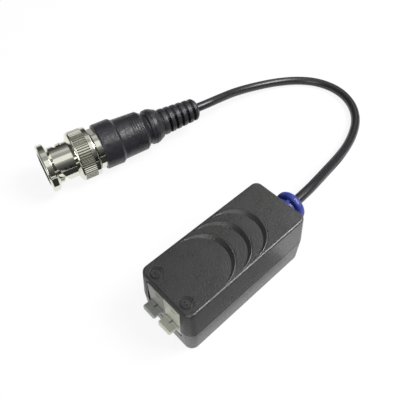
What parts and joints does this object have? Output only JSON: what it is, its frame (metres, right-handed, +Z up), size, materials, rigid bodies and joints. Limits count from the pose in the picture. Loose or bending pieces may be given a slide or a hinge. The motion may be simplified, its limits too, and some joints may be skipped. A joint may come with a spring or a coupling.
{
  "type": "cctv video balun",
  "caption": "Passive video balun: a small moulded housing with sprung push-lever wire terminals and a short coaxial pigtail that ends in a bayonet plug.",
  "frame": {"origin": "on the surface it lies on, below the middle of the box round the housing, its terminal levers and its cable grommet", "axes": "+X along the housing from the terminal towards the cable, +Y across the housing towards the side where the plug lies, +Z up"},
  "size_m": [0.1029, 0.0729, 0.0171],
  "materials": {
    "housing": "satin black moulded plastic with a fine texture",
    "terminal_grey": "satin grey moulded plastic",
    "terminal_ivory": "satin pale grey moulded plastic",
    "nickel": "bright nickel plate, lightly handled",
    "boot_rubber": "soft black moulded rubber",
    "cable_jacket": "glossy black PVC jacket",
    "grommet_blue": "royal blue soft plastic",
    "spring_steel": "bare spring steel",
    "tin_contact": "tinned copper alloy",
    "board": "green solder mask on glass fibre",
    "ferrite": "dark grey sintered ferrite",
    "enamelled_wire": "enamelled copper wire",
    "suppressor": "blue epoxy coat",
    "chips": "ceramic chips with dark glaze",
    "lead_insulation": "white polyethylene",
    "braid": "twisted tinned copper strands",
    "gasket_rubber": "red-brown rubber",
    "insulator": "white waxy plastic",
    "gold": "gold-plated contact"
  },
  "bodies": {
    "balun": {"housing_cover": "housing", "housing_base": "housing", "terminal_module_left": "terminal_grey", "terminal_module_right": "terminal_ivory", "clamp_spring_left": "spring_steel", "clamp_spring_right": "spring_steel", "contact_pin_left": "tin_contact", "contact_pin_right": "tin_contact", "circuit_board": "board", "transformer_core": "ferrite", "transformer_winding": "enamelled_wire", "surge_suppressor": "suppressor", "chip_parts": "chips", "cable_grommet": "grommet_blue", "cable": "cable_jacket", "coax_core_lead": "lead_insulation", "coax_braid_lead": "braid", "bnc_body": "nickel", "bnc_backnut": "nickel", "wave_spring": "spring_steel", "gasket": "gasket_rubber", "insulator": "insulator", "center_pin": "gold", "plug_core_lead": "lead_insulation", "plug_screen": "braid", "bnc_boot": "boot_rubber"},
    "lever_left": {"push_lever_left": "terminal_grey"},
    "lever_right": {"push_lever_right": "terminal_ivory"},
    "coupling_washer": {"thrust_washer": "nickel"},
    "coupling": {"coupling_sleeve": "nickel"}
  },
  "joints": [
    {"name": "lever_left_press", "type": "hinge", "parent": "balun", "child": "lever_left", "pos_m": [-0.01638, 0.00263, 0.0092], "axis": [0, -1, 0], "range_deg": [0, 8], "stiffness_Nm_per_rad": 0.1, "springref_deg": -11.46, "deforming": ["clamp_spring_left"]},
    {"name": "lever_right_press", "type": "hinge", "parent": "balun", "child": "lever_right", "pos_m": [-0.01638, -0.00263, 0.0092], "axis": [0, -1, 0], "range_deg": [0, 8], "stiffness_Nm_per_rad": 0.1, "springref_deg": -11.46, "deforming": ["clamp_spring_right"]},
    {"name": "coupling_pull", "type": "slide", "parent": "balun", "child": "coupling_washer", "axis": [-0.9774, 0.2113, 0], "range_m": [0, 0.001], "stiffness_N_per_m": 2000, "springref_m": -0.001, "deforming": ["wave_spring"]},
    {"name": "coupling_turn", "type": "hinge", "parent": "coupling_washer", "child": "coupling", "pos_m": [-0.00554, 0.05486, 0.0074], "axis": [0.9774, -0.2113, 0], "continuous": true}
  ]
}
